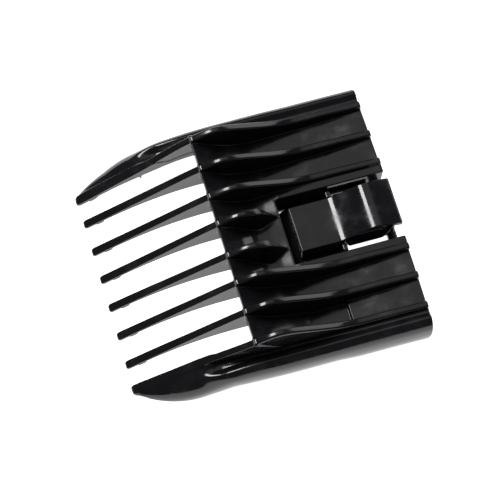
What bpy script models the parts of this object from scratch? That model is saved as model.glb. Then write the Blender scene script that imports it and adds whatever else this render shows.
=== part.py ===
"""Variable-length attachment comb for a hair clipper.

The comb lies scalp side up. X runs across the teeth, the tooth tips point to -Y,
and the heel, where the clipper slides in, is at +Y. Z is up from the surface that
the comb lies on. Along the comb, a place is given as its distance from the heel,
so a growing distance runs towards the tooth tips.

Three nodes: the one-piece comb moulding, the slide that sets the cutting length
in the window at the heel, and the slide's sprung release tongue.
"""
import math

import bmesh
import bpy

MM = 0.001

# Whole comb, in millimetres.
COMB_LENGTH = 56.2       # tooth tip to the foot of the heel
TAB_PROUD = 0.9          # release tab past the heel's foot
HEEL_Y = (COMB_LENGTH + TAB_PROUD) / 2 - TAB_PROUD
HEEL_LEAN = 0.086        # the heel face leans out this much for each unit of height
HEEL_SPARE = -1.5        # solids run on to here before the heel face is cut

# Teeth and ribs.
TOOTH_COUNT = 8
PITCH = 6.08             # tooth to tooth
RIB_THICK = 1.44
CREST_THICK = 1.3
TIP_THICK = 1.62
CREST_AT = 30.0
INNER_BOW = 0.06         # ribs stand this far outside an even spacing
MIDDLE_BOW = 0.34
OUTER_BOW = 0.32
OUTER_TOE_IN = 0.9       # outer teeth come in behind the tips
OUTER_TIP_IN = 0.5
FRONT_SLOPE = 0.469      # fall of the teeth from the crest to the tips
RIB_LOW = 8.15
RIB_HIGH = 13.6
CREST_SHARPNESS = 0.8
ROOT_AT = 33.0           # the free teeth start here
ROOT_BOTTOM = 5.65
RIB_BOTTOM = 4.2
NUB_DEPTH = 0.5

# Deck between the ribs.
DECK_FRONT = 33.0
DECK_LOW = 5.5
DECK_RISE_FROM = 13.5
DECK_RISE = 0.09
DECK_RAMP_FROM = 20.0
DECK_RAMP_RADIUS = 16.0
DECK_RAMP_ANGLE = math.radians(38.5)
DECK_THICK = 1.6

# Side skirts, as distances from the middle of the comb.
SKIRT_INNER = 23.6
SKIRT_WIDEST = 26.05
SKIRT_WIDEST_Z = 5.1
SKIRT_FOOT_INSET = 0.87
RIM_AT = 24.6
RIM_TOP = 7.5
RIM_FALL = 0.9
VALLEY_AT = 22.9
VALLEY_DEPTH = 0.8
ROOM_TOP = 4.6
LEAF_FROM = 44.4         # the smooth front of the outer tooth ends here
GROOVE_FULL = 41.4
LEAF_LONG = 13.0
TIP_EDGE = 20.6
HOLLOW_START = 43.0      # the room for the clipper head starts here

# Window for the slide.
WINDOW_HALF = 6.85
WINDOW_FRONT = 20.65
RAIL_HALF = 8.8
RAIL_TOP = 7.3
PLATFORM_TOP = 7.2
PLATFORM_END = 26.5
PLATFORM_END_TOP = 6.45
FRAME_BOTTOM = 1.1
GROOVE_HALF = 7.7
GROOVE_LOW = 2.1
GROOVE_HIGH = 3.5
STERN_FROM = 24.8        # ribs 4 and 5 run out ahead of the window
HEEL_BAR = (0.3, 1.3)    # bar across the window at the heel
HEEL_BAR_LOW = 0.4
HEEL_BAR_TOP = 1.4
PAWL = (0.6, 1.1)
PAWL_HALF = 3.9
PAWL_TOP = 2.1

# Marking recess beside the outer rib.
RECESS_NEAR = 13.5
RECESS_FAR = 21.0
RECESS_DEPTH = 0.6

# Slide and tongue.
CLEAR = 0.3
PAD_HALF = 4.68
PAD_NEAR = 11.2
PAD_FAR = 18.8
PAD_TOP = 7.0
PLATE_THICK = 0.8
BAR_NEAR = 2.5
BAR_OUTER = 6.5
BAR_INNER = 6.1
BAR_TOP = 5.0
BRIDGE_TOP = 6.4
HINGE_AT = 10.6
RAMP_FOOT_AT = 10.75
RAMP_SLOPE = 0.405
TAB_CREST = 9.5
TAB_CREST_AT = 5.2
TONGUE_HALF = 4.66
TONGUE_LIP_HALF = 5.3
TONGUE_LOW = 5.6
TAB_HALF = 5.05
TAB_THICK = 1.2
CATCH_NEAR = 0.3
CATCH_FAR = 1.8
NOTCH_COUNT = 4
NOTCH_FIRST = 0.85
NOTCH_PITCH = 2.5
NOTCH_WIDE = 1.2
NOTCH_DEEP = 0.6
BLADE_STOP = (16.6, 18.0)
BLADE_STOP_HALF = 5.5
BLADE_STOP_LOW = 1.2
OVERLAP = 0.2            # pieces of one solid reach this far into each other
REACH = 12.0             # cutting blocks reach past the solid


def remove_everything():
    for thing in list(bpy.data.objects):
        bpy.data.objects.remove(thing, do_unlink=True)


def make_material(name, colour, roughness):
    material = bpy.data.materials.new(name)
    material.use_nodes = True
    shader = material.node_tree.nodes["Principled BSDF"]
    shader.inputs["Base Color"].default_value = (*colour, 1.0)
    shader.inputs["Roughness"].default_value = roughness
    shader.inputs["Metallic"].default_value = 0.0
    return material


def point(x, along, z):
    """A point in metres, from millimetres across, from the heel and up."""
    return (x * MM, (HEEL_Y - along) * MM, z * MM)


def smooth_step(low, high, value):
    t = min(max((value - low) / (high - low), 0.0), 1.0)
    return t * t * (3 - 2 * t)


def mix(a, b, t):
    return a + (b - a) * t


def new_object(name, mesh_maker):
    mesh = bpy.data.meshes.new(name)
    bm = bmesh.new()
    mesh_maker(bm)
    bmesh.ops.recalc_face_normals(bm, faces=bm.faces)
    bm.to_mesh(mesh)
    bm.free()
    thing = bpy.data.objects.new(name, mesh)
    bpy.context.scene.collection.objects.link(thing)
    return thing


def loft(name, sections):
    """A closed solid through sections, each a ring of the same number of points."""
    def build(bm):
        rings = [[bm.verts.new(p) for p in section] for section in sections]
        count = len(rings[0])
        for ring, following in zip(rings, rings[1:]):
            for i in range(count):
                j = (i + 1) % count
                bm.faces.new((ring[i], ring[j], following[j], following[i]))
        bm.faces.new(rings[0])
        bm.faces.new(rings[-1])
        bmesh.ops.triangulate(bm, faces=bm.faces)
    return new_object(name, build)


def block(name, x_range, along_range, z_range):
    def ring(along):
        return [point(x_range[0], along, z_range[0]), point(x_range[1], along, z_range[0]),
                point(x_range[1], along, z_range[1]), point(x_range[0], along, z_range[1])]
    return loft(name, [ring(along) for along in along_range])


def hull(name, points):
    def build(bm):
        for p in points:
            bm.verts.new(point(*p))
        result = bmesh.ops.convex_hull(bm, input=bm.verts)
        spare = [g for g in result["geom_interior"] if isinstance(g, bmesh.types.BMVert)]
        bmesh.ops.delete(bm, geom=spare, context="VERTS")
    return new_object(name, build)


def combine(body, tool, operation):
    """Apply one exact Boolean to the body and remove the tool."""
    modifier = body.modifiers.new(operation, "BOOLEAN")
    modifier.operation = operation
    modifier.object = tool
    modifier.solver = "EXACT"
    evaluated = body.evaluated_get(bpy.context.evaluated_depsgraph_get())
    result = bpy.data.meshes.new_from_object(evaluated)
    body.modifiers.clear()
    body.data = result
    bpy.data.objects.remove(tool, do_unlink=True)


# ---------------------------------------------------------------- comb shape

def tooth_centre(index, along):
    """Distance from the middle of tooth 0 to 7 at a place along the comb."""
    base = (index - (TOOTH_COUNT - 1) / 2) * PITCH
    side = 1 if base > 0 else -1
    if index in (0, TOOTH_COUNT - 1):
        toe_in = OUTER_TOE_IN * smooth_step(32, 46, along)
        return base + side * (OUTER_BOW - toe_in - OUTER_TIP_IN * smooth_step(44, 57, along))
    rest = MIDDLE_BOW if index in (3, 4) else INNER_BOW
    bow = mix(rest, -0.013 * abs(base), smooth_step(CREST_AT, COMB_LENGTH, along))
    return base + side * bow


def tooth_half(along):
    waist = mix(RIB_THICK, CREST_THICK, smooth_step(16, CREST_AT, along))
    return mix(waist, TIP_THICK, smooth_step(36, COMB_LENGTH, along)) / 2


def ridge_height(along):
    """Top of the ribs: a straight climb from the tip, a round crest, an S to the heel."""
    front = 1.25 + (54.7 - along) * FRONT_SLOPE
    behind = mix(RIB_LOW, RIB_HIGH, smooth_step(11.5, 32, along))
    behind -= 0.3 * (1 - smooth_step(0, 8, along))
    gap = (front - behind) / CREST_SHARPNESS
    return front - CREST_SHARPNESS * math.log(1 + math.exp(gap))


def tooth_bottom(along):
    """Lower edge of a free tooth: level at the root, then down to the tip."""
    reach = max(along - ROOT_AT, 0.0)
    edge = max(ROOT_BOTTOM - 0.0095 * reach ** 2.05, 0.1)
    edge = mix(RIB_BOTTOM, edge, smooth_step(27, ROOT_AT, along))
    nub = smooth_step(51.8, 52.2, along) * (1 - smooth_step(53.3, 53.8, along))
    return edge - NUB_DEPTH * nub


def deck_height(along):
    run = max(along - DECK_RAMP_FROM, 0.0)
    bend = DECK_RAMP_RADIUS * math.sin(DECK_RAMP_ANGLE)
    arc = DECK_RAMP_RADIUS - math.sqrt(DECK_RAMP_RADIUS ** 2 - min(run, bend) ** 2)
    straight = max(run - bend, 0.0) * math.tan(DECK_RAMP_ANGLE)
    return DECK_LOW + arc + straight + DECK_RISE * max(DECK_RISE_FROM - along, 0.0)


def stations(low, high, step):
    count = max(1, round((high - low) / step))
    return [mix(low, high, i / count) for i in range(count + 1)]


def make_deck(name):
    half = 3.6 * PITCH

    def ring(along):
        top = deck_height(along)
        under = top - DECK_THICK
        return [point(-half, along, under), point(half, along, under),
                point(half, along, top), point(-half, along, top)]
    flat = [HEEL_SPARE, DECK_RISE_FROM / 2, DECK_RISE_FROM, DECK_RAMP_FROM]
    return loft(name, [ring(a) for a in flat + stations(DECK_RAMP_FROM, DECK_FRONT, 2.2)[1:]])


def add_inner_tooth(comb, index):
    """One of the six thin fins: tooth in front, rib on the deck behind."""
    rear = STERN_FROM if index in (3, 4) else HEEL_SPARE
    places = [COMB_LENGTH, 55.6, 53.8, 53.3, 52.2, 51.8, 49, 45, 41, 37, 35, ROOT_AT,
              31.5, 30, 28.5, 27, 25, 22.5, 20, 17, 14, 11, 8, 4]
    places = [a for a in places if a > rear] + [rear]

    def ring(along):
        centre = tooth_centre(index, along)
        half = tooth_half(along)
        top = ridge_height(along)
        under = tooth_bottom(along)
        if along == COMB_LENGTH:
            top -= 0.15
            half -= 0.3
        return [point(centre - half, along, under), point(centre + half, along, under),
                point(centre + half * 0.85, along, top),
                point(centre - half * 0.85, along, top)]
    combine(comb, loft("fin", [ring(a) for a in places]), "UNION")


def leaf_edge(along):
    """Widest line of the outer tooth and skirt, seen from above."""
    t = min(max((COMB_LENGTH - along) / LEAF_LONG, 0.0), 1.0)
    edge = mix(TIP_EDGE, SKIRT_WIDEST - 0.5, math.sin(t * math.pi / 2) ** 0.8)
    return edge + 0.5 * (1 - smooth_step(26, 44, along))


def add_outer_tooth(comb, side):
    """Outer runner: a smooth leaf at the tip that becomes rib, groove and skirt."""
    places = [COMB_LENGTH, 55.6, 54.4, 52.5, 50, 47.5, 45.5, LEAF_FROM, 43.6, HOLLOW_START, 42.4,
              GROOVE_FULL, 39, 36, ROOT_AT, 31.5, 30, 28.5, 27, 25, 22.5, 20, 17, 14, 11, 8, 4, HEEL_SPARE]

    def ring(along):
        centre = tooth_centre(TOOTH_COUNT - 1, along)
        half = tooth_half(along)
        inner = centre - half
        top = ridge_height(along)
        if along == COMB_LENGTH:
            top -= 0.15
        edge = leaf_edge(along)
        grooved = 1 - smooth_step(GROOVE_FULL, LEAF_FROM, along)
        hollow = 1 - smooth_step(HOLLOW_START - 0.6, HOLLOW_START, along)
        widest_z = min(SKIRT_WIDEST_Z, 0.5 * top)
        foot_edge = edge - SKIRT_FOOT_INSET * widest_z / SKIRT_WIDEST_Z
        rim_top = RIM_TOP - RIM_FALL * smooth_step(32, 43, along)
        valley_top = rim_top - VALLEY_DEPTH - 0.4 * smooth_step(30, 40, along)
        bottom = tooth_bottom(along)
        wall = mix(mix(inner, foot_edge, 0.6), SKIRT_INNER, hollow)
        ceiling = mix(bottom * 0.5, ROOM_TOP, hollow)
        ceiling_at = mix(mix(inner, wall, 0.6), wall + 0.01, hollow)
        outline = [(wall, 0.0), (ceiling_at, ceiling), (inner, max(bottom, ceiling + 0.02)),
                   (inner, top), (centre + half * 0.8, top - 0.03),
                   (mix(mix(centre, edge, 0.4), VALLEY_AT, grooved), mix(top * 0.95, valley_top, grooved)),
                   (mix(mix(centre, edge, 0.7), RIM_AT, grooved), mix(top * 0.87, rim_top, grooved)),
                   (edge - 0.35, mix(top * 0.7, rim_top - 1.0, grooved)),
                   (edge, widest_z), (foot_edge, 0.0)]
        return [point(side * x, along, z) for x, z in outline]
    combine(comb, loft("runner", [ring(a) for a in places]), "UNION")


def add_stern(comb, side):
    """Where ribs 4 and 5 run out: a short pyramid down to the window's front wall."""
    at = tooth_centre(4, STERN_FROM)
    low = PLATFORM_TOP - 1.6
    corners = [(at - 0.6, STERN_FROM, 11.75), (at + 0.6, STERN_FROM, 11.75),
               (at - 0.55, 28.0, 12.55), (at + 0.55, 28.0, 12.55),
               (at - 1.5, STERN_FROM - 0.2, low), (at + 2.2, STERN_FROM - 0.6, low),
               (at - 0.5, 29.0, 7.4), (at + 0.8, 29.0, 7.4),
               (at, WINDOW_FRONT + 0.2, PLATFORM_TOP), (at, WINDOW_FRONT + 0.2, low)]
    combine(comb, hull("stern", [(side * x, a, z) for x, a, z in corners]), "UNION")


def add_window(comb):
    """Rails and shelf round the slide, the window through them and the two side grooves."""
    for side in (-1, 1):
        x_range = sorted((side * (WINDOW_HALF - 0.4), side * RAIL_HALF))
        rail = block("rail", x_range, (HEEL_SPARE, WINDOW_FRONT + 0.8), (FRAME_BOTTOM, RAIL_TOP))
        combine(comb, rail, "UNION")
    front = (WINDOW_FRONT - 0.4, WINDOW_FRONT + 1.4)
    wall = block("front_wall", (-RAIL_HALF, RAIL_HALF), front, (FRAME_BOTTOM, DECK_LOW))
    combine(comb, wall, "UNION")
    shelf = [(x, a, z) for x in (-RAIL_HALF, RAIL_HALF)
             for a, z in ((WINDOW_FRONT - 0.4, DECK_LOW - 0.6), (WINDOW_FRONT - 0.4, PLATFORM_TOP),
                          (PLATFORM_END, PLATFORM_END_TOP - 0.8), (PLATFORM_END, PLATFORM_END_TOP))]
    combine(comb, hull("shelf", shelf), "UNION")
    window = block("cut", (-WINDOW_HALF, WINDOW_HALF), (-2, WINDOW_FRONT), (0, REACH))
    combine(comb, window, "DIFFERENCE")
    groove = (GROOVE_LOW, GROOVE_HIGH)
    combine(comb, block("cut", (-GROOVE_HALF, GROOVE_HALF), (-2, WINDOW_FRONT - 0.02), groove),
            "DIFFERENCE")
    bar_half = WINDOW_HALF + 0.3
    bar = block("heel_bar", (-bar_half, bar_half), HEEL_BAR, (HEEL_BAR_LOW, HEEL_BAR_TOP))
    combine(comb, bar, "UNION")
    pawl = block("pawl", (-PAWL_HALF, PAWL_HALF), PAWL, (HEEL_BAR_TOP - OVERLAP, PAWL_TOP))
    combine(comb, pawl, "UNION")


def add_marking_recess(comb):
    left = tooth_centre(6, 17) + RIB_THICK / 2 + 0.05
    right = tooth_centre(7, 17) - RIB_THICK / 2 - 0.05
    floor = DECK_LOW - RECESS_DEPTH
    recess = block("cut", (left, right), (RECESS_NEAR, RECESS_FAR), (floor, floor + 3))
    combine(comb, recess, "DIFFERENCE")


def trim_heel(comb):
    """Cut the heel face, which leans out over its foot."""
    half = SKIRT_WIDEST + 1
    cut = [(x, a, z) for x in (-half, half) for z in (-1, REACH) for a in (-4, -HEEL_LEAN * z)]
    combine(comb, hull("cut", cut), "DIFFERENCE")


def make_comb_body(material):
    """The whole moulding as one solid."""
    comb = make_deck("comb_body")
    for index in range(1, TOOTH_COUNT - 1):
        add_inner_tooth(comb, index)
    for side in (-1, 1):
        add_outer_tooth(comb, side)
        add_stern(comb, side)
    add_window(comb)
    add_marking_recess(comb)
    trim_heel(comb)
    comb.data.materials.clear()
    comb.data.materials.append(material)
    return comb


# --------------------------------------------------------------- length slide

def make_length_slide(material):
    """Carriage plate in the grooves, thumb pad in front, two side bars behind."""
    low = GROOVE_LOW + CLEAR
    high = low + PLATE_THICK
    half = GROOVE_HALF - CLEAR
    inside = high - OVERLAP
    slide = block("length_slide", (-half, half), (BAR_NEAR, WINDOW_FRONT - CLEAR), (low, high))
    pad = block("pad", (-PAD_HALF, PAD_HALF), (PAD_NEAR, PAD_FAR), (inside, PAD_TOP))
    combine(slide, pad, "UNION")
    bridge = block("bridge", (-BAR_OUTER, BAR_OUTER), (HINGE_AT - 0.1, PAD_NEAR + OVERLAP),
                   (inside, BRIDGE_TOP))
    combine(slide, bridge, "UNION")
    for side in (-1, 1):
        x_range = sorted((side * BAR_INNER, side * BAR_OUTER))
        bar = block("bar", x_range, (BAR_NEAR, HINGE_AT + 0.1), (inside, BAR_TOP))
        combine(slide, bar, "UNION")
    gate = block("cut", (-BAR_INNER, BAR_INNER), (-1, HINGE_AT - 0.1), (0, REACH))
    combine(slide, gate, "DIFFERENCE")
    stop = block("stop", (-BLADE_STOP_HALF, BLADE_STOP_HALF), BLADE_STOP,
                 (BLADE_STOP_LOW, low + OVERLAP))
    combine(slide, stop, "UNION")
    slide.data.materials.clear()
    slide.data.materials.append(material)
    return slide


def tongue_top(along):
    """Side view of the tongue: ramp up to a round crest, then down over the tab."""
    ramp = PAD_TOP + RAMP_SLOPE * max(RAMP_FOOT_AT - along, 0.0)
    behind = max(TAB_CREST_AT - along, 0.0)
    fall = TAB_CREST - 0.045 * behind ** 2 - 0.12 * (TAB_CREST_AT - along)
    return min(ramp, fall)


def make_release_tongue(material):
    """Sprung ramp and finger tab, with the notched catch under it."""
    root = HINGE_AT - 0.1 - CLEAR
    low = GROOVE_LOW + CLEAR

    def upper(along):
        half = mix(TONGUE_HALF, TAB_HALF, smooth_step(3.6, 1.0, along))
        top = tongue_top(along)
        under = mix(TONGUE_LOW, top - TAB_THICK, smooth_step(2.2, 0.6, along))
        return [point(-half, along, under), point(half, along, under),
                point(half, along, top), point(-half, along, top)]
    tongue = loft("release_tongue", [upper(a) for a in stations(-TAB_PROUD, root, 0.9)])
    lip = (TONGUE_LOW, TONGUE_LOW + 0.5)
    combine(tongue, block("lip", (-TONGUE_LIP_HALF, TONGUE_LIP_HALF), (CATCH_FAR, root - 0.4), lip),
            "UNION")
    core = block("core", (-PAWL_HALF, PAWL_HALF), (CATCH_FAR - OVERLAP, root), (low, TONGUE_LOW + 0.3))
    combine(tongue, core, "UNION")
    catch = block("catch", (-PAWL_HALF, PAWL_HALF), (CATCH_NEAR, CATCH_FAR), (low, 6.9))
    combine(tongue, catch, "UNION")
    for index in range(NOTCH_COUNT):
        at = NOTCH_FIRST + index * NOTCH_PITCH
        span = (at - NOTCH_WIDE / 2, at + NOTCH_WIDE / 2)
        notch = block("cut", (-REACH, REACH), span, (low - 1, low + NOTCH_DEEP))
        combine(tongue, notch, "DIFFERENCE")
    tongue.data.materials.clear()
    tongue.data.materials.append(material)
    return tongue


def main():
    remove_everything()
    comb_plastic = make_material("comb_plastic", (0.012, 0.012, 0.014), 0.28)
    slide_plastic = make_material("slide_plastic", (0.013, 0.014, 0.016), 0.32)
    make_comb_body(comb_plastic)
    make_length_slide(slide_plastic)
    make_release_tongue(slide_plastic)
    for thing in bpy.data.objects:
        thing.data.shade_flat()


main()
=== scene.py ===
"""Finished look of the attachment comb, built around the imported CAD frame.

The comb and its slide are modelled as implicit solids: every rib, wall and edge is
a formula, soft unions give the moulded fillets, and a surface net turns the result
into a mesh. Lengths in the formulas are millimetres. A place along the comb is its
distance from the heel, growing towards the tooth tips.
"""
import math

import bmesh
import bpy
import numpy as np
from mathutils import Matrix, Vector


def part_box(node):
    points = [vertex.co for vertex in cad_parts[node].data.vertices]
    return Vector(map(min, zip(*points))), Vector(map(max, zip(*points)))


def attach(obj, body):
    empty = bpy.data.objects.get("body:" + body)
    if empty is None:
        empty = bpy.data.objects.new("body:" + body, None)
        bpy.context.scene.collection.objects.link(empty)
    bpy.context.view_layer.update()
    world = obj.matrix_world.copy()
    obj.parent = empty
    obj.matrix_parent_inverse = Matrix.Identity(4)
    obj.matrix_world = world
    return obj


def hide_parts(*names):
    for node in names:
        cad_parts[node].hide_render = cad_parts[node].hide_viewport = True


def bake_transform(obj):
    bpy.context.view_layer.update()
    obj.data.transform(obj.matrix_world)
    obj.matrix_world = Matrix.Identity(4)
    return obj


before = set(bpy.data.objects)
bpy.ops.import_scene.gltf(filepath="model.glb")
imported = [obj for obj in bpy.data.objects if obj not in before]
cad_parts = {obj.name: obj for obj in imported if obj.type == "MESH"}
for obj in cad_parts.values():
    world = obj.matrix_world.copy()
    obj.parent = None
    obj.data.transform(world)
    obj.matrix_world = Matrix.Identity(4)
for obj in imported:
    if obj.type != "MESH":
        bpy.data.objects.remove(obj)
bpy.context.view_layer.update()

MM = 0.001
COMB_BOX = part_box("comb_body")

HEEL_LIP = 0.75
HEEL_LIP_HEIGHT = 7.0
HEEL_BOW = 0.3
TIP_AT = 56.2
HEEL_Y = COMB_BOX[0][1] / MM + TIP_AT
TOOTH_COUNT = 8
PITCH = 6.08
RIB_THICK = 1.44
CREST_THICK = 1.3
TIP_THICK = 1.62
CREST_AT = 30.0
INNER_BOW = 0.06
MIDDLE_BOW = 0.34
OUTER_BOW = 0.32
OUTER_LEAN_MIDWAY = 0.9
OUTER_LEAN_TIP = 0.5
TIP_GATHER = 0.013
WAIST_FROM = 16
THICKEN_FROM = 36

DECK_FRONT = 33.0
DECK_LOW = 5.5
DECK_RISE_FROM = 13.5
DECK_RISE = 0.09
DECK_RAMP_FROM = 20.0
DECK_RAMP_RADIUS = 16.0
DECK_RAMP_ANGLE = math.radians(38.5)
DECK_THICK = 1.6
DECK_HALF = 22.4
DECK_RISE_ROUND = 0.25

RIDGE_HEEL = 8.15
RIDGE_CREST = 13.6
RIDGE_RISE = (11.5, 32.0)
RIDGE_SAG = 0.3
RIDGE_SAG_TO = 8
RIDGE_TIP = 1.25
RIDGE_TIP_AT = 54.7
RIDGE_FALL = 0.469
RIDGE_ROUND = 0.8
TOOTH_ROOT_LOW = 4.2
TOOTH_BOTTOM_FROM = 33.0
TOOTH_BOTTOM_HIGH = 5.65
TOOTH_BOTTOM_FALL = 0.0095
TOOTH_BOTTOM_POWER = 2.05
NUB_DEPTH = 0.5
NUB_ALONG = (51.8, 52.2, 53.3, 53.8)
RUNNER_NUB_DEPTH = 0.9
RUNNER_NUB_ALONG = (42.4, 42.7, 43.3, 43.6)
TIP_ROUND = 0.8
FIN_ROUND_HEEL = 0.5
FIN_ROUND_TIP = 0.2

SKIRT_WIDEST = 26.05
SKIRT_WIDEST_Z = 5.1
SKIRT_CURVE = 0.042
SKIRT_INNER = 23.6
LEAF_TIP = 20.6
LEAF_LENGTH = 13.0
LEAF_INSET = 0.5
RIM_AT = 24.6
RIM_TOP = 7.85
VALLEY_AT = 22.9
VALLEY_DEPTH = 0.85
VALLEY_DEEPENS = 0.15
RIM_DROP = 0.9
LEAF_SAG = 0.2
RUNNER_ROUND = 2.7
ROOM_TOP = 4.6
HOLLOW_START = 43.0

WINDOW_HALF = 6.85
WINDOW_FRONT = 20.65
RAIL_HALF = 8.8
RAIL_TOP = 7.3
PLATFORM_TOP = 7.2
SHELF_SLOPE_MIDDLE = 0.085
SHELF_SLOPE_SIDE = 0.125
SHELF_FAR = 27.5
FRAME_BOTTOM = 1.1
GROOVE_HALF = 7.7
GROOVE_LOW = 2.1
GROOVE_HIGH = 3.5
STERN_FROM = 24.8
DECK_FILLET = 0.22
FRONT_FILLET = 0.5
STERN_TOP = 12.05
HEEL_BAR_FAR = 1.6
HEEL_BAR_Z = (0.5, 2.0)
PAST_HEEL = -9.0

RECESS_NEAR = 13.5
RECESS_FAR = 21.0
RECESS_DEPTH = 0.6

CLEAR = 0.3
PAD_NEAR = 11.2
PAD_FAR = 18.8
PAD_TOP = 7.0
HINGE_AT = 10.6
RAMP_FOOT_AT = 10.75
RAMP_FOOT_ROUND = 0.5
RAMP_SLOPE = 0.41
CROWN_AT = 5.2
CROWN_TOP = 9.6
CROWN_CURVE = 0.016
CROWN_FALL = 0.06
CROWN_ROUND = 0.22
PLATE_NEAR = 2.5
PLATE_THICK = 0.8
NOSE_LOW = 0.9
NOTCH_COUNT = 4
NOTCH_FIRST = 0.85
NOTCH_STEP = 2.5
NOTCH_HALF = 0.6
TONGUE_HALF = 4.66
TONGUE_FLARE = 0.85
TONGUE_LOW = 5.6
CORE_HALF = 3.9
SPLIT = 0.15
TAB_HALF = 4.8
TAB_PROUD = 0.9
BAR_INNER = 6.1
BAR_OUTER = 6.5
BAR_TOP = 5.0
BRIDGE_TOP = 6.4


# ------------------------------------------------------------ implicit solids

def soft_max(a, b, r):
    """Intersection with the edge between the two rounded over about r."""
    return np.maximum(a, b) + np.maximum(r - np.abs(a - b), 0.0) ** 2 / (4.0 * r)


def soft_min(a, b, r):
    """Union with a fillet of about r."""
    return -soft_max(-a, -b, r)


def smooth_lower(a, b, r):
    """The lower of two profiles, blended where they cross."""
    return -r * np.logaddexp(-a / r, -b / r)


def ramp(low, high, value):
    """Smooth step from 0 at low to 1 at high."""
    t = np.clip((value - low) / (high - low), 0.0, 1.0)
    return t * t * (3.0 - 2.0 * t)


def plateau(value, rise_from, full_from, full_to, fall_to):
    """1 between full_from and full_to, falling smoothly to 0 outside."""
    return ramp(rise_from, full_from, value) * (1 - ramp(full_to, fall_to, value))


def mix(a, b, t):
    return a + (b - a) * t


def slab(value, low, high):
    return np.maximum(low - value, value - high)


def box_field(x, a, z, x_range, a_range, z_range, r):
    sides = soft_max(slab(x, *x_range), slab(a, *a_range), r)
    return soft_max(sides, slab(z, *z_range), r)


def slope_cos(function, a):
    """Cosine of a profile's slope, which turns a height gap into a distance."""
    rise = (function(a + 0.05) - function(a - 0.05)) / 0.1
    return 1.0 / np.sqrt(1.0 + rise ** 2)


def hull_planes(points):
    """Outward planes of the convex hull of a few points."""
    bm = bmesh.new()
    for p in points:
        bm.verts.new(p)
    bmesh.ops.convex_hull(bm, input=bm.verts)
    middle = sum((Vector(p) for p in points), Vector()) / len(points)
    planes = []
    for face in bm.faces:
        normal = face.normal.copy()
        offset = normal.dot(face.verts[0].co)
        if normal.dot(middle) > offset:
            normal, offset = -normal, -offset
        planes.append((tuple(normal), offset))
    bm.free()
    return planes


def plane_field(x, a, z, planes, r):
    field = None
    for (nx, na, nz), offset in planes:
        gap = x * nx + a * na + z * nz - offset
        field = gap if field is None else soft_max(field, gap, r)
    return field


# ------------------------------------------------------------- comb moulding

def tooth_centre(index, a):
    base = (index - (TOOTH_COUNT - 1) / 2) * PITCH
    side = 1 if base > 0 else -1
    if index in (0, TOOTH_COUNT - 1):
        bow = OUTER_BOW - OUTER_LEAN_MIDWAY * ramp(32, 46, a) - OUTER_LEAN_TIP * ramp(44, 57, a)
    else:
        rest = MIDDLE_BOW if index in (3, 4) else INNER_BOW
        bow = mix(rest, -TIP_GATHER * abs(base), ramp(CREST_AT, TIP_AT, a))
    return base + side * bow


def tooth_half(a):
    waist = mix(RIB_THICK, CREST_THICK, ramp(WAIST_FROM, CREST_AT, a))
    return mix(waist, TIP_THICK, ramp(THICKEN_FROM, TIP_AT, a)) / 2


def ridge_height(a):
    front = RIDGE_TIP + (RIDGE_TIP_AT - a) * RIDGE_FALL
    behind = mix(RIDGE_HEEL, RIDGE_CREST, ramp(*RIDGE_RISE, a))
    behind = behind - RIDGE_SAG * (1 - ramp(0, RIDGE_SAG_TO, a))
    return smooth_lower(front, behind, RIDGE_ROUND)


def tooth_bottom(a):
    reach = np.maximum(a - TOOTH_BOTTOM_FROM, 0.0)
    edge = np.maximum(TOOTH_BOTTOM_HIGH - TOOTH_BOTTOM_FALL * reach ** TOOTH_BOTTOM_POWER, 0.1)
    edge = mix(edge, TOOTH_ROOT_LOW, 1 - ramp(27, TOOTH_BOTTOM_FROM, a))
    return edge - NUB_DEPTH * plateau(a, *NUB_ALONG)


def deck_height(a):
    run = np.maximum(a - DECK_RAMP_FROM, 0.0)
    bend = DECK_RAMP_RADIUS * math.sin(DECK_RAMP_ANGLE)
    arc = DECK_RAMP_RADIUS - np.sqrt(DECK_RAMP_RADIUS ** 2 - np.minimum(run, bend) ** 2)
    straight = np.maximum(run - bend, 0.0) * math.tan(DECK_RAMP_ANGLE)
    heel = DECK_RISE_ROUND * np.logaddexp(0.0, (DECK_RISE_FROM - a) * DECK_RISE / DECK_RISE_ROUND)
    return DECK_LOW + arc + straight + heel


def fin_round(a):
    """Edge rounding of a fin: soft over the deck, crisp on the free tooth."""
    return mix(FIN_ROUND_HEEL, FIN_ROUND_TIP, ramp(CREST_AT, THICKEN_FROM, a))


def fin_field(x, a, z, index, rear):
    """A thin tooth that carries on behind the crest as a rib."""
    upper = (z - ridge_height(a)) * slope_cos(ridge_height, a)
    lower = (tooth_bottom(a) - z) * slope_cos(tooth_bottom, a)
    sides = np.abs(x - tooth_centre(index, a)) - tooth_half(a)
    field = soft_max(upper, sides, fin_round(a))
    field = soft_max(field, lower, 0.3)
    return soft_max(field, slab(a, rear, TIP_AT), 0.9)


def deck_field(x, a, z):
    slope = slope_cos(deck_height, a)
    gap = (z - deck_height(a)) * slope
    field = np.maximum(gap, -gap - DECK_THICK)
    field = soft_max(field, a - DECK_FRONT, 0.15)
    return np.maximum(field, np.abs(x) - DECK_HALF)


def leaf_edge(a):
    """Widest line of the outer tooth, seen from above."""
    t = np.clip((TIP_AT - a) / LEAF_LENGTH, 0.0, 1.0)
    bulge = mix(LEAF_TIP, SKIRT_WIDEST - LEAF_INSET, np.sin(t * math.pi / 2) ** 0.8)
    return bulge + LEAF_INSET * (1 - ramp(26, 44, a))


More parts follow.
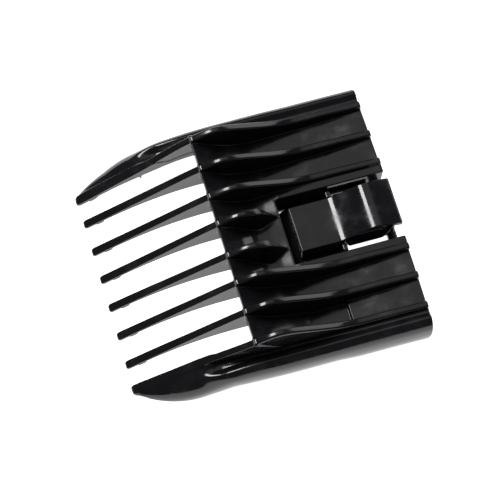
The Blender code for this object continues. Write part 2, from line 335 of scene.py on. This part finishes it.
def runner_field(u, a, z):
    """Outer tooth and side skirt. u is the distance from the comb's middle plane."""
    centre = tooth_centre(TOOTH_COUNT - 1, a)
    half = tooth_half(a)
    top = ridge_height(a)
    edge = leaf_edge(a)
    widest_z = np.minimum(SKIRT_WIDEST_Z, 0.55 * top)
    outer = u - (edge - SKIRT_CURVE * (z - widest_z) ** 2)
    across = np.clip((u - centre) / (edge - centre), 0, 1.2)
    leaf = top * (1 - LEAF_SAG * across ** 2)
    dip = 0.5 + 0.5 * np.cos(math.pi * np.clip((u - VALLEY_AT) / (RIM_AT - VALLEY_AT), 0, 1))
    rim = RIM_TOP - RIM_DROP * ramp(32, 43, a)
    groove = rim - (VALLEY_DEPTH + VALLEY_DEEPENS * ramp(30, 40, a)) * dip
    grooved = 1 - ramp(39.4, 45.4, a + 0.8 * ((u - VALLEY_AT) / 1.3) ** 2)
    roof = mix(leaf, groove, grooved)
    round_off = np.minimum(RUNNER_ROUND, 0.75 * top)
    body = soft_max((z - roof) * 0.95, outer, round_off)
    body = soft_max(body, (centre - half) - u, 0.2)
    inner_low = tooth_bottom(a) - RUNNER_NUB_DEPTH * plateau(a, *RUNNER_NUB_ALONG)
    under = mix(inner_low, 0.0, ramp(0.4, 3.0, u - centre))
    body = soft_max(body, (under - z) * 0.8, 0.3)
    body = soft_max(body, a - TIP_AT, TIP_ROUND)
    upper = (z - top) * slope_cos(ridge_height, a)
    fin = soft_max(upper, np.abs(u - centre) - half, fin_round(a))
    fin = soft_max(fin, inner_low - z, 0.2)
    fin = soft_max(fin, a - TIP_AT, TIP_ROUND)
    solid = soft_min(body, fin, 0.5)
    room = np.maximum(u - SKIRT_INNER, z - ROOM_TOP)
    room = soft_max(room, a - HOLLOW_START, 0.6)
    return soft_max(solid, -room, 0.3)


def stern_field(x, a, z):
    """Ribs 4 and 5 run out in a short pyramid ahead of the window."""
    at = float(tooth_centre(4, STERN_FROM))
    low = PLATFORM_TOP - 1.6
    corners = [(at - 0.66, STERN_FROM, STERN_TOP), (at + 0.66, STERN_FROM, STERN_TOP),
               (at - 0.62, 28.0, 12.6), (at + 0.62, 28.0, 12.6),
               (at - 1.5, STERN_FROM - 0.2, low), (at + 2.2, STERN_FROM - 0.6, low),
               (at - 0.5, 29.0, 7.4), (at + 0.8, 29.0, 7.4),
               (at, WINDOW_FRONT + 0.2, PLATFORM_TOP), (at, WINDOW_FRONT + 0.2, low)]
    return plane_field(np.abs(x), a, z, hull_planes(corners), 0.25)


def platform_field(u, a, z):
    """Raised rails beside the window and the sloping shelf ahead of it."""
    rails = box_field(u, a, z, (WINDOW_HALF - 1, RAIL_HALF), (PAST_HEEL, WINDOW_FRONT - 0.4),
                      (FRAME_BOTTOM, RAIL_TOP), 0.25)
    slope = mix(SHELF_SLOPE_MIDDLE, SHELF_SLOPE_SIDE, ramp(3.4, 5.5, u))
    shelf_top = PLATFORM_TOP - slope * (a - WINDOW_FRONT)
    shelf = soft_max(slab(a, WINDOW_FRONT - 1, SHELF_FAR), z - shelf_top, 0.2)
    shelf = np.maximum(shelf, FRAME_BOTTOM - z)
    shelf = np.maximum(np.maximum(shelf, u - RAIL_HALF), FRAME_BOTTOM + (a - 22.0) * 0.9 - z)
    return soft_min(rails, shelf, 0.25)


def heel_field(u, a, z):
    """The heel face leans out over its foot and bows a little."""
    lip = HEEL_LIP - HEEL_BOW * (u / SKIRT_WIDEST) ** 2
    lip = lip * np.clip(z / HEEL_LIP_HEIGHT, 0.0, 1.1)
    return -lip - a


def comb_field(x, a, z):
    u = np.abs(x)
    foot_fillet = mix(DECK_FILLET, FRONT_FILLET, ramp(30.5, 32.5, a))
    field = soft_min(deck_field(x, a, z), platform_field(u, a, z), 1.2)
    for index in range(1, TOOTH_COUNT - 1):
        rear = STERN_FROM if index in (3, 4) else PAST_HEEL
        field = soft_min(field, fin_field(x, a, z, index, rear), foot_fillet)
    field = soft_min(field, runner_field(u, a, z), foot_fillet)
    field = soft_min(field, stern_field(x, a, z), 0.3)
    window = np.maximum(u - WINDOW_HALF, a - WINDOW_FRONT)
    groove = box_field(u, a, z, (0, GROOVE_HALF), (PAST_HEEL, WINDOW_FRONT),
                       (GROOVE_LOW, GROOVE_HIGH), 0.1)
    field = soft_max(field, -np.minimum(window, groove), 0.25)
    left = tooth_centre(6, 17.0) + RIB_THICK / 2 + 0.1
    right = tooth_centre(7, 17.0) - RIB_THICK / 2 - 0.1
    recess = box_field(x, a, z, (left, right), (RECESS_NEAR, RECESS_FAR),
                       (DECK_LOW - RECESS_DEPTH, 20.0), 0.2)
    field = soft_max(field, -recess, 0.15)
    bar = box_field(u, a, z, (-1, WINDOW_HALF + 0.3), (PAST_HEEL, HEEL_BAR_FAR), HEEL_BAR_Z, 0.2)
    field = soft_min(field, bar, 0.3)
    field = soft_max(field, heel_field(u, a, z), 0.3)
    return soft_max(field, -z, 0.25)


# --------------------------------------------------------------- length slide

def slide_top(a):
    """Side view: pad, hollow fillet, ramp, round crest and the tab falling away."""
    climb = RAMP_SLOPE * RAMP_FOOT_ROUND * np.logaddexp(0.0, (RAMP_FOOT_AT - a) / RAMP_FOOT_ROUND)
    back = np.maximum(CROWN_AT - a, 0.0)
    fall = CROWN_TOP - CROWN_CURVE * back ** 2 - CROWN_FALL * (CROWN_AT - a)
    return smooth_lower(PAD_TOP + climb, fall, CROWN_ROUND)


def slide_field(x, a, z):
    """Grooved plate, side bars and root of the slide, under the pad and the tongue."""
    u = np.abs(x)
    low = GROOVE_LOW + CLEAR
    high = low + PLATE_THICK
    plate = box_field(u, a, z, (-1, GROOVE_HALF - CLEAR), (PLATE_NEAR, PAD_FAR - 0.5),
                      (low, high), 0.25)
    gate = np.maximum(u - BAR_INNER, a - HINGE_AT + 0.1)
    plate = soft_max(plate, -gate, 0.2)
    nose = box_field(u, a, z, (-1, BAR_OUTER), (PAD_FAR - 2, WINDOW_FRONT - CLEAR),
                     (NOSE_LOW, high), 0.2)
    nose = soft_max(nose, (z - high + (a - PAD_FAR + 0.4)) * 0.7, 0.1)
    plate = soft_min(plate, nose, 0.1)
    bars = box_field(u, a, z, (BAR_INNER, BAR_OUTER), (PLATE_NEAR, PAD_NEAR), (low, BAR_TOP), 0.2)
    root = box_field(u, a, z, (TONGUE_HALF + SPLIT, BAR_OUTER), (HINGE_AT - 0.5, PAD_NEAR),
                     (low, BRIDGE_TOP), 0.4)
    stop = box_field(u, a, z, (-1, 5.5), (16.6, 18.0), (1.2, low + 0.3), 0.25)
    return np.minimum(soft_min(soft_min(plate, bars, 0.3), root, 0.3), stop)


def tongue_field(x, a, z):
    """Thumb pad and, past the living hinge, the sprung tongue."""
    u = np.abs(x)
    low = GROOVE_LOW + CLEAR
    top = slide_top(a)
    end = ramp(3.6, 1.0, a)
    flare = TONGUE_FLARE * np.clip((PAD_TOP - z) / 1.1, 0, 1)
    flare = flare * ramp(1.0, 1.8, a) * (1 - ramp(9.6, 10.2, a))
    half = mix(TONGUE_HALF, TAB_HALF, end) + flare * (1 - end)
    under = mix(TONGUE_LOW, top - 1.2, ramp(2.2, 0.6, a))
    under = mix(under, low + PLATE_THICK + SPLIT, ramp(HINGE_AT - 0.6, PAD_NEAR, a))
    upper = soft_max((z - top) * 0.93, u - half, 0.2)
    upper = soft_max(upper, slab(a, -TAB_PROUD, PAD_FAR), 0.3)
    upper = soft_max(upper, (under - z) * 0.9, 0.25)
    core = box_field(u, a, z, (-1, CORE_HALF), (1.6, HINGE_AT - 0.3), (low, 6.5), 0.3)
    heel = box_field(u, a, z, (-1, CORE_HALF), (0.3, 2.0), (low, 6.0), 0.2)
    tongue = soft_min(soft_min(upper, core, 0.2), heel, 0.2)
    for index in range(NOTCH_COUNT):
        at = NOTCH_FIRST + index * NOTCH_STEP
        notch = np.maximum(slab(a, at - NOTCH_HALF, at + NOTCH_HALF), z - low - NOTCH_HALF)
        tongue = soft_max(tongue, -np.maximum(notch, a - HINGE_AT), 0.15)
    return tongue


# ------------------------------------------------------------- surface nets

def cell_edges():
    """The twelve edges of a grid cell, as pairs of corners."""
    edges = []
    for axis in range(3):
        others = [k for k in range(3) if k != axis]
        for second in (0, 1):
            for first in (0, 1):
                start = [0, 0, 0]
                start[others[0]] = first
                start[others[1]] = second
                end = list(start)
                end[axis] = 1
                edges.append((tuple(start), tuple(end)))
    return edges


def sample(field, axes):
    """Field values on the grid, a slab of the long axis at a time."""
    xs, ys, zs = axes
    values = np.empty((len(xs), len(ys), len(zs)))
    step = 16
    for start in range(0, len(ys), step):
        part = ys[start:start + step]
        values[:, start:start + step] = field(xs[:, None, None], part[None, :, None],
                                              zs[None, None, :])
    return values


def surface_net(values, axes):
    """Points and quads of the zero level: one point per crossed cell."""
    corner = np.array(values.shape) - 1
    inside = values < 0

    def corner_view(array, offset):
        return array[tuple(slice(o, o + n) for o, n in zip(offset, corner))]
    total = np.zeros((*corner, 3))
    hits = np.zeros(corner)
    for start, end in cell_edges():
        first = corner_view(values, start)
        second = corner_view(values, end)
        crossed = corner_view(inside, start) != corner_view(inside, end)
        t = np.where(crossed, first / np.where(crossed, first - second, 1.0), 0.0)
        for axis in range(3):
            place = start[axis] + t * (end[axis] - start[axis])
            total[..., axis] += np.where(crossed, place, 0.0)
        hits += crossed
    used = hits > 0
    number = np.full(corner, -1)
    number[used] = np.arange(used.sum())
    cell = np.argwhere(used) + total[used] / hits[used][:, None]
    columns = [np.interp(cell[:, k], np.arange(len(axes[k])), axes[k]) for k in range(3)]
    points = np.stack(columns, 1)
    quads = []
    for axis in range(3):
        other = [k for k in range(3) if k != axis]
        near = [slice(1, -1)] * 3
        near[axis] = slice(0, -1)
        far = list(near)
        far[axis] = slice(1, None)
        change = inside[tuple(near)] != inside[tuple(far)]
        index = np.argwhere(change)
        index[:, other[0]] += 1
        index[:, other[1]] += 1
        outward = inside[tuple(near)][change]
        ring = []
        for da, db in ((-1, -1), (0, -1), (0, 0), (-1, 0)):
            at = index.copy()
            at[:, other[0]] += da
            at[:, other[1]] += db
            ring.append(number[at[:, 0], at[:, 1], at[:, 2]])
        faces = np.stack(ring, 1)
        flip = outward if axis == 1 else ~outward
        faces[flip] = faces[flip][:, ::-1]
        quads.append(faces)
    return points, np.concatenate(quads)


def gradient(field, points, step=0.004):
    slopes = []
    for axis in range(3):
        shift = np.zeros(3)
        shift[axis] = step
        ahead = field(*(points + shift).T)
        behind = field(*(points - shift).T)
        slopes.append((ahead - behind) / (2 * step))
    return np.stack(slopes, 1)


def settle(field, points, reach, rounds=3):
    """Pull the net's points onto the exact surface."""
    start = points.copy()
    for _ in range(rounds):
        slope = gradient(field, points)
        size = np.maximum((slope ** 2).sum(1), 0.05)
        points = points - (field(*points.T) / size)[:, None] * slope
        points = start + np.clip(points - start, -reach, reach)
    return points


def implicit_mesh(name, field, low, high, pitch):
    """A closed, smooth-shaded mesh of a field in comb millimetres."""
    axes = [np.arange(low[k], high[k] + pitch[k], pitch[k]) for k in range(3)]
    points, quads = surface_net(sample(field, axes), axes)
    points = settle(field, points, 0.6 * np.array(pitch))
    slope = gradient(field, points)
    normals = slope / np.maximum(np.linalg.norm(slope, axis=1), 1e-9)[:, None]
    world = np.stack([points[:, 0], HEEL_Y - points[:, 1], points[:, 2]], 1) * MM
    normals[:, 1] *= -1
    mesh = bpy.data.meshes.new(name)
    mesh.from_pydata(world.tolist(), [], quads[:, ::-1].tolist())
    mesh.validate()
    mesh.shade_smooth()
    mesh.normals_split_custom_set_from_vertices(normals.tolist())
    thing = bpy.data.objects.new(name, mesh)
    bpy.context.scene.collection.objects.link(thing)
    return thing


# ------------------------------------------------------------------ materials

def add_noise(tree, coordinates, scale, detail, stretch=None):
    """Noise in object space; stretch pulls its grain along the comb."""
    vector = coordinates
    if stretch:
        mapping = tree.nodes.new("ShaderNodeMapping")
        mapping.inputs["Scale"].default_value = stretch
        tree.links.new(coordinates, mapping.inputs["Vector"])
        vector = mapping.outputs["Vector"]
    noise = tree.nodes.new("ShaderNodeTexNoise")
    noise.inputs["Scale"].default_value = scale
    noise.inputs["Detail"].default_value = detail
    tree.links.new(vector, noise.inputs["Vector"])
    return noise.outputs["Fac"]


def add_range(tree, value, source, target):
    """Map a socket's range to another one, clamped."""
    node = tree.nodes.new("ShaderNodeMapRange")
    node.interpolation_type = "SMOOTHSTEP"
    node.inputs["From Min"].default_value = source[0]
    node.inputs["From Max"].default_value = source[1]
    node.inputs["To Min"].default_value = target[0]
    node.inputs["To Max"].default_value = target[1]
    tree.links.new(value, node.inputs["Value"])
    return node.outputs["Result"]


def add_math(tree, operation, a, b):
    node = tree.nodes.new("ShaderNodeMath")
    node.operation = operation
    for socket, value in zip(node.inputs, (a, b)):
        if isinstance(value, (int, float)):
            socket.default_value = value
        else:
            tree.links.new(value, socket)
    return node.outputs["Value"]


def add_bump(tree, height, distance, strength, normal=None):
    bump = tree.nodes.new("ShaderNodeBump")
    bump.inputs["Distance"].default_value = distance
    bump.inputs["Strength"].default_value = strength
    tree.links.new(height, bump.inputs["Height"])
    if normal:
        tree.links.new(normal, bump.inputs["Normal"])
    return bump.outputs["Normal"]


CLOUD_SCALE = 190
SPECK_SCALE = 2600
FLOW_STRETCH = (1100, 260, 700)
SCRATCH_STRETCH = (5200, 240, 3000)


def plastic(name, colour, worn, roughness, grain):
    """Moulded black plastic: flow marks, handling haze, fine grain, rubbed edges."""
    material = bpy.data.materials.new(name)
    material.use_nodes = True
    tree = material.node_tree
    shader = tree.nodes["Principled BSDF"]
    shader.inputs["IOR"].default_value = 1.5
    place = tree.nodes.new("ShaderNodeTexCoord").outputs["Object"]
    cloud = add_noise(tree, place, CLOUD_SCALE, 4)
    flow = add_noise(tree, place, 1.0, 3, FLOW_STRETCH)
    speck = add_noise(tree, place, SPECK_SCALE, 2)
    scratch = add_noise(tree, place, 1.0, 2, SCRATCH_STRETCH)
    haze = add_math(tree, "MULTIPLY", add_range(tree, cloud, (0.48, 0.68), (0, 1)),
                    add_range(tree, flow, (0.35, 0.65), (0.3, 1)))
    lines = add_range(tree, scratch, (0.66, 0.72), (0, 1))
    geometry = tree.nodes.new("ShaderNodeNewGeometry")
    edge = add_range(tree, geometry.outputs["Pointiness"], (0.53, 0.60), (0, 1))
    rubbed = add_math(tree, "MULTIPLY", edge, add_range(tree, cloud, (0.40, 0.60), (0.2, 1)))
    film = add_math(tree, "MAXIMUM", add_math(tree, "MULTIPLY", haze, 0.8), rubbed)
    tint = tree.nodes.new("ShaderNodeMix")
    tint.data_type = "RGBA"
    tint.inputs["A"].default_value = (*colour, 1.0)
    tint.inputs["B"].default_value = (*worn, 1.0)
    tree.links.new(film, tint.inputs["Factor"])
    tree.links.new(tint.outputs["Result"], shader.inputs["Base Color"])
    patchy = add_range(tree, cloud, (0.3, 0.7), (roughness - 0.03, roughness + 0.05))
    rough = add_math(tree, "ADD", patchy, add_math(tree, "MULTIPLY", film, 0.08))
    rough = add_math(tree, "ADD", rough, add_math(tree, "MULTIPLY", lines, 0.06))
    tree.links.new(rough, shader.inputs["Roughness"])
    normal = add_bump(tree, cloud, 0.00006, 0.3)
    normal = add_bump(tree, flow, 0.00003, 0.35, normal)
    normal = add_bump(tree, speck, 0.00001, grain, normal)
    normal = add_bump(tree, lines, -0.00001, 0.12, normal)
    tree.links.new(normal, shader.inputs["Normal"])
    return material


# ---------------------------------------------------------------------- stage

FLOOR_HALF = 1.2
FLOOR_GLOW = 1.15
WORLD_GLOW = 0.08


def area_light(name, place, sweep, size, radiance):
    """A soft box that faces the comb, with its long side along sweep."""
    data = bpy.data.lights.new(name, "AREA")
    data.shape = "RECTANGLE"
    data.size = size[0]
    data.size_y = size[1]
    data.energy = radiance * size[0] * size[1] * math.pi
    light = bpy.data.objects.new(name, data)
    bpy.context.scene.collection.objects.link(light)
    light.location = place
    back = (Vector(place) - Vector((0, 0, 0.01))).normalized()
    along = Vector(sweep)
    along = (along - back * along.dot(back)).normalized()
    across = along.cross(back)
    light.rotation_euler = Matrix((across, along, back)).transposed().to_euler()


def make_stage():
    mesh = bpy.data.meshes.new("floor")
    half = FLOOR_HALF
    mesh.from_pydata([(-half, -half, 0), (half, -half, 0), (half, half, 0), (-half, half, 0)], [],
                     [(0, 1, 2, 3)])
    floor = bpy.data.objects.new("floor", mesh)
    bpy.context.scene.collection.objects.link(floor)
    material = bpy.data.materials.new("floor")
    material.use_nodes = True
    shader = material.node_tree.nodes["Principled BSDF"]
    shader.inputs["Base Color"].default_value = (0.9, 0.9, 0.9, 1)
    shader.inputs["Roughness"].default_value = 0.9
    shader.inputs["Emission Color"].default_value = (1, 1, 1, 1)
    shader.inputs["Emission Strength"].default_value = FLOOR_GLOW
    mesh.materials.append(material)
    world = bpy.data.worlds.new("studio")
    world.use_nodes = True
    world.node_tree.nodes["Background"].inputs["Color"].default_value = (0.95, 0.97, 1.0, 1)
    world.node_tree.nodes["Background"].inputs["Strength"].default_value = WORLD_GLOW
    bpy.context.scene.world = world


CAMERA_AZIMUTH = math.radians(73.8)
CAMERA_ELEVATION = math.radians(65.35)
CAMERA_DISTANCE = 0.6313
CAMERA_LENS = 243.6


def make_camera():
    """Looks down at the comb from its right side, a little from the tooth end."""
    back = Vector((math.sin(CAMERA_AZIMUTH) * math.cos(CAMERA_ELEVATION),
                   -math.cos(CAMERA_AZIMUTH) * math.cos(CAMERA_ELEVATION),
                   math.sin(CAMERA_ELEVATION)))
    right = Vector((0, 0, 1)).cross(back).normalized()
    up = back.cross(right)
    target = Vector((0, (HEEL_Y - 28.0) * MM, 0.008)) + right * 0.00048 - up * 0.00183
    data = bpy.data.cameras.new("camera")
    data.lens = CAMERA_LENS
    data.sensor_width = 36
    data.clip_start = 0.01
    camera = bpy.data.objects.new("camera", data)
    bpy.context.scene.collection.objects.link(camera)
    camera.location = target + back * CAMERA_DISTANCE
    camera.rotation_euler = back.to_track_quat("Z", "Y").to_euler()
    bpy.context.scene.camera = camera


COMB_GRID = (0.2, 0.3, 0.2)
SLIDE_GRID = 0.12
COMB_ROOM = ((-26.6, -1.3, -0.5), (26.6, 56.8, 13.9))
SLIDE_ROOM = ((-7.8, -1.3, 0.7), (7.8, 20.7, 7.0))
TONGUE_ROOM = ((-5.9, -1.3, 2.1), (5.9, 19.2, 10.1))
COMB_BLACK = (0.0072, 0.0070, 0.0084)
COMB_WORN = (0.015, 0.015, 0.018)
SLIDE_BLACK = (0.0064, 0.0064, 0.0078)
SLIDE_WORN = (0.015, 0.016, 0.019)


def main():
    make_camera()
    make_stage()
    bpy.context.scene.view_settings.view_transform = "Standard"
    area_light("key", (-0.40, -0.24, 0.885), (0, -0.96, -0.27), (0.5, 0.24), 17)
    area_light("top", (-0.42, 0.14, 0.90), (0, 0.96, -0.16), (0.9, 0.42), 0.5)
    area_light("back", (-0.42, 0.76, 0.50), (0, 0.65, -0.76), (0.9, 0.55), 2.0)
    coarse = 1.0
    pitch = [COMB_GRID[k] * coarse for k in range(3)]
    comb = implicit_mesh("comb_moulding", comb_field, *COMB_ROOM, pitch)
    comb.data.materials.append(plastic("comb_plastic", COMB_BLACK, COMB_WORN, 0.13, 0.2))
    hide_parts("comb_body")
    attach(comb, "comb")
    fine = [SLIDE_GRID * coarse] * 3
    slide = implicit_mesh("length_slide_moulding", slide_field, *SLIDE_ROOM, fine)
    tongue = implicit_mesh("tongue_moulding", tongue_field, *TONGUE_ROOM, fine)
    satin = plastic("slide_plastic", SLIDE_BLACK, SLIDE_WORN, 0.10, 0.25)
    for part in (slide, tongue):
        part.data.materials.append(satin)
    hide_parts("length_slide")
    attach(slide, "slide")
    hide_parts("release_tongue")
    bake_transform(tongue)


main()
